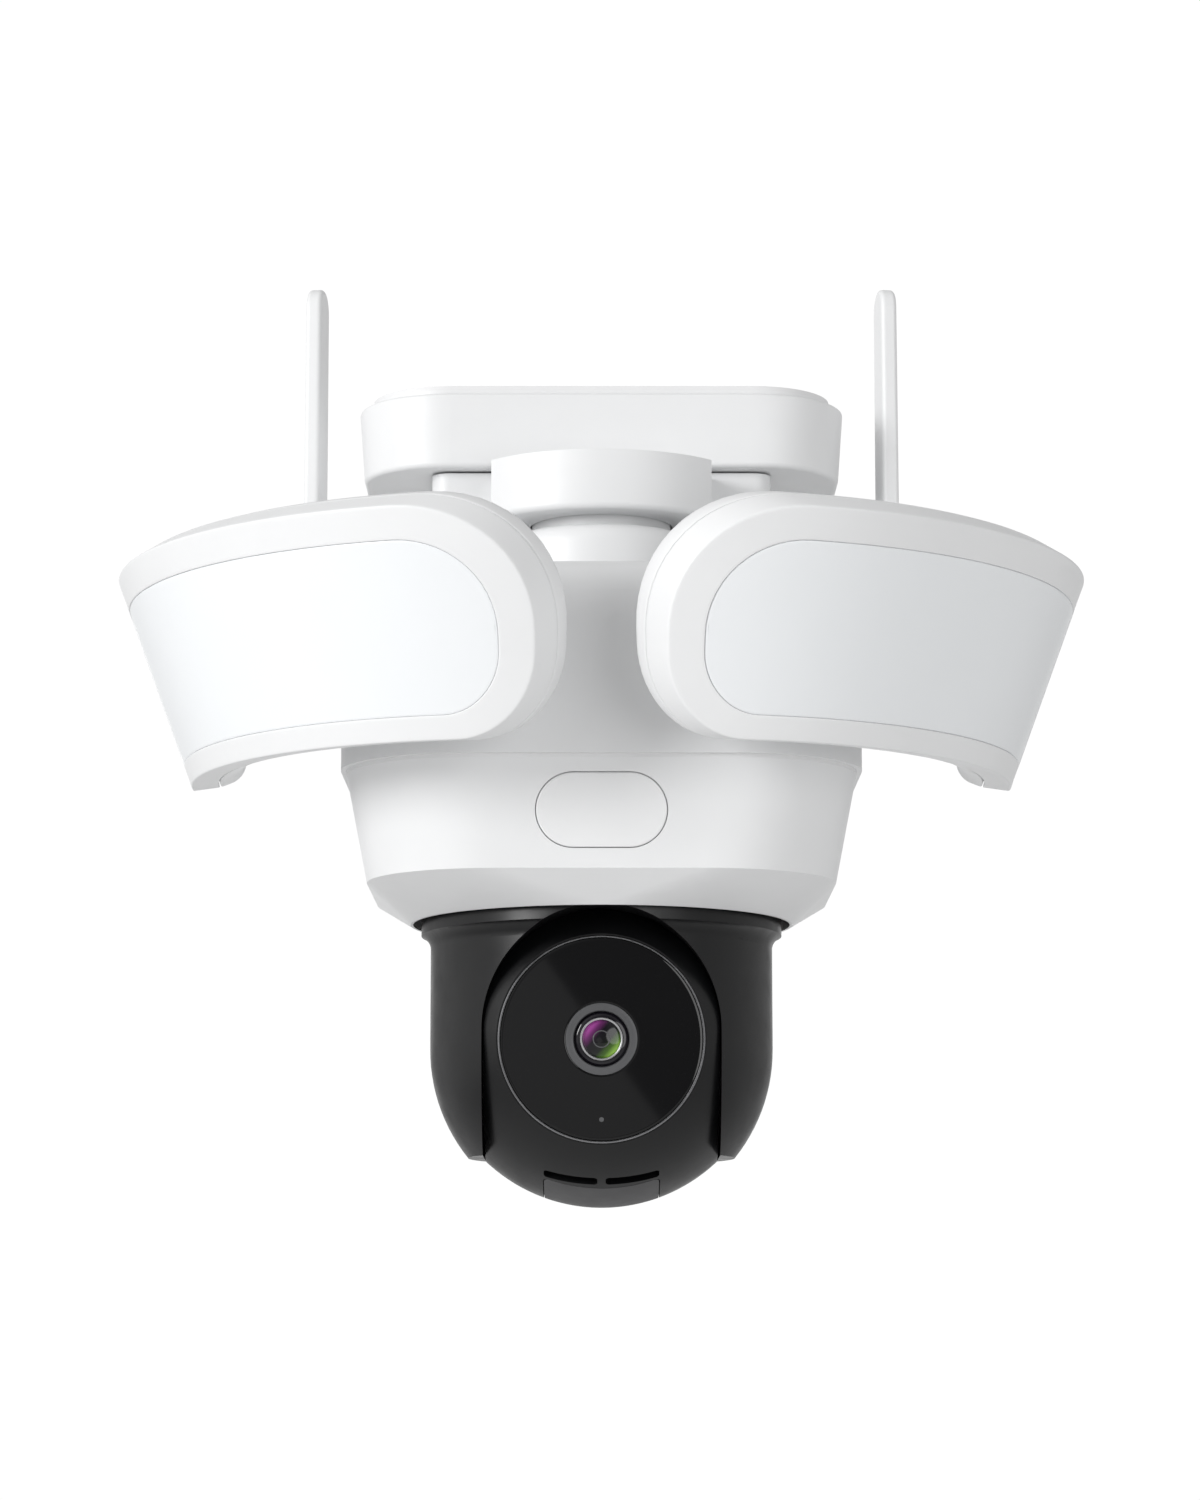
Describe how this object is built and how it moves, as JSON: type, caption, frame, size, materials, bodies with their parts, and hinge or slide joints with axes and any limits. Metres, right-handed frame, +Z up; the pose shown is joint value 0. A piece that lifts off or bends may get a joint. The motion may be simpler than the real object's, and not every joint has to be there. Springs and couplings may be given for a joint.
{
  "type": "floodlight security camera",
  "caption": "Floodlight security camera with a folding ceiling or wall mount, wrap-around tilting lamps, folding antennas, motion sensor and a pan and tilt camera head",
  "frame": {"origin": "centre of the flat face that meets the ceiling", "axes": "+Z up out of the mounting face, the camera looks along -Y, +X is to the right seen from the front"},
  "size_m": [0.2664, 0.2568, 0.267],
  "materials": {
    "white_shell": "fine moulded satin white",
    "diffuser": "frosted opal sheet, lamps off",
    "pir_window": "white polyethylene window",
    "black_gloss": "smooth black with soft highlights",
    "black_matte": "black",
    "front_glass": "flat smoked glass",
    "rubber": "soft black",
    "steel": "plated",
    "aluminium": "white-faced aluminium board",
    "board": "green laminate",
    "gear_plastic": "acetal"
  },
  "bodies": {
    "mount": {"mount_gasket": "rubber", "mount_plate": "steel", "mount_box": "white_shell", "box_screws": "steel", "terminal_block": "black_matte", "fold_pin": "steel"},
    "arm": {"arm_shell": "white_shell", "arm_cap": "white_shell"},
    "casing": {"neck_stem": "white_shell", "neck_nut": "gear_plastic", "collar": "white_shell", "casing_upper": "white_shell", "casing_seal": "rubber", "casing_lower": "white_shell", "casing_screws": "steel", "chassis": "gear_plastic", "main_board": "board", "pan_bearing": "steel", "pan_motor": "steel", "pir_lens": "pir_window", "pir_sensor": "steel", "right_lamp_mount": "white_shell", "left_lamp_mount": "white_shell", "right_yaw_pin": "steel", "left_yaw_pin": "steel", "right_antenna_base": "white_shell", "left_antenna_base": "white_shell"},
    "pan_pinion": {"pan_pinion": "gear_plastic"},
    "turret": {"turret": "black_gloss", "pan_gear": "gear_plastic", "tilt_motor": "steel"},
    "tilt_pinion": {"tilt_pinion": "gear_plastic"},
    "head": {"head_front": "black_gloss", "head_rear": "black_gloss", "right_axle": "gear_plastic", "left_axle": "gear_plastic", "tilt_gear": "gear_plastic", "front_glass": "front_glass", "bezel_ring": "steel", "face_plate": "black_matte", "lens_barrel": "black_gloss", "lens_element": "front_glass", "sensor_board": "board", "speaker": "black_matte"},
    "port_cover": {"port_cover": "rubber"},
    "reset_button": {"reset_button": "gear_plastic"},
    "right_knuckle": {"right_knuckle": "white_shell"},
    "right_lamp": {"right_lamp_bezel": "white_shell", "right_lamp_diffuser": "diffuser", "right_lamp_back": "white_shell", "right_led_board": "aluminium", "right_tilt_pin": "steel"},
    "right_antenna": {"right_antenna": "white_shell"},
    "left_knuckle": {"left_knuckle": "white_shell"},
    "left_lamp": {"left_lamp_bezel": "white_shell", "left_lamp_diffuser": "diffuser", "left_lamp_back": "white_shell", "left_led_board": "aluminium", "left_tilt_pin": "steel"},
    "left_antenna": {"left_antenna": "white_shell"}
  },
  "joints": [
    {"name": "mount_fold", "type": "hinge", "parent": "mount", "child": "arm", "pos_m": [0, 0, -0.037], "axis": [1, 0, 0], "range_deg": [0, 90]},
    {"name": "neck_swivel", "type": "hinge", "parent": "arm", "child": "casing", "pos_m": [0, -0.068, -0.04], "axis": [0, 0, 1], "range_deg": [-12, 12]},
    {"name": "pan", "type": "hinge", "parent": "casing", "child": "turret", "pos_m": [0, -0.068, -0.15], "axis": [0, 0, 1], "range_deg": [-175, 175]},
    {"name": "pan_pinion_spin", "type": "hinge", "parent": "casing", "child": "pan_pinion", "pos_m": [0, -0.042, -0.119], "axis": [0, 0, 1], "range_deg": [-590, 590]},
    {"name": "head_tilt", "type": "hinge", "parent": "turret", "child": "head", "pos_m": [0, -0.068, -0.1853], "axis": [1, 0, 0], "range_deg": [-20, 70]},
    {"name": "tilt_pinion_spin", "type": "hinge", "parent": "turret", "child": "tilt_pinion", "pos_m": [-0.035, -0.068, -0.1713], "axis": [1, 0, 0], "range_deg": [-128, 38]},
    {"name": "port_flap", "type": "hinge", "parent": "head", "child": "port_cover", "pos_m": [0, -0.05728, -0.2292], "axis": [1, 0, 0], "range_deg": [0, 95]},
    {"name": "reset_press", "type": "slide", "parent": "head", "child": "reset_button", "axis": [0, 0.0941, 0.9956], "range_m": [0, 0.0008], "stiffness_N_per_m": 600},
    {"name": "right_lamp_yaw", "type": "hinge", "parent": "casing", "child": "right_knuckle", "pos_m": [0.07124, -0.1235, -0.09], "axis": [0, 0, 1], "range_deg": [-5, 6]},
    {"name": "right_lamp_tilt", "type": "hinge", "parent": "right_knuckle", "child": "right_lamp", "pos_m": [0.0786, -0.12775, -0.09], "axis": [-0.5, -0.866, 0], "range_deg": [-8, 25]},
    {"name": "right_antenna_fold", "type": "hinge", "parent": "casing", "child": "right_antenna", "pos_m": [0.0826, -0.034, -0.09], "axis": [-1, 0, 0], "range_deg": [0, 180]},
    {"name": "left_lamp_yaw", "type": "hinge", "parent": "casing", "child": "left_knuckle", "pos_m": [-0.07124, -0.1235, -0.09], "axis": [0, 0, -1], "range_deg": [-5, 6]},
    {"name": "left_lamp_tilt", "type": "hinge", "parent": "left_knuckle", "child": "left_lamp", "pos_m": [-0.0786, -0.12775, -0.09], "axis": [-0.5, 0.866, 0], "range_deg": [-8, 25]},
    {"name": "left_antenna_fold", "type": "hinge", "parent": "casing", "child": "left_antenna", "pos_m": [-0.0826, -0.034, -0.09], "axis": [-1, 0, 0], "range_deg": [0, 180]}
  ],
  "couplings": [
    {"joint": "pan_pinion_spin", "follows": "pan", "ratio": -3.3333},
    {"joint": "tilt_pinion_spin", "follows": "head_tilt", "ratio": -1.8}
  ]
}
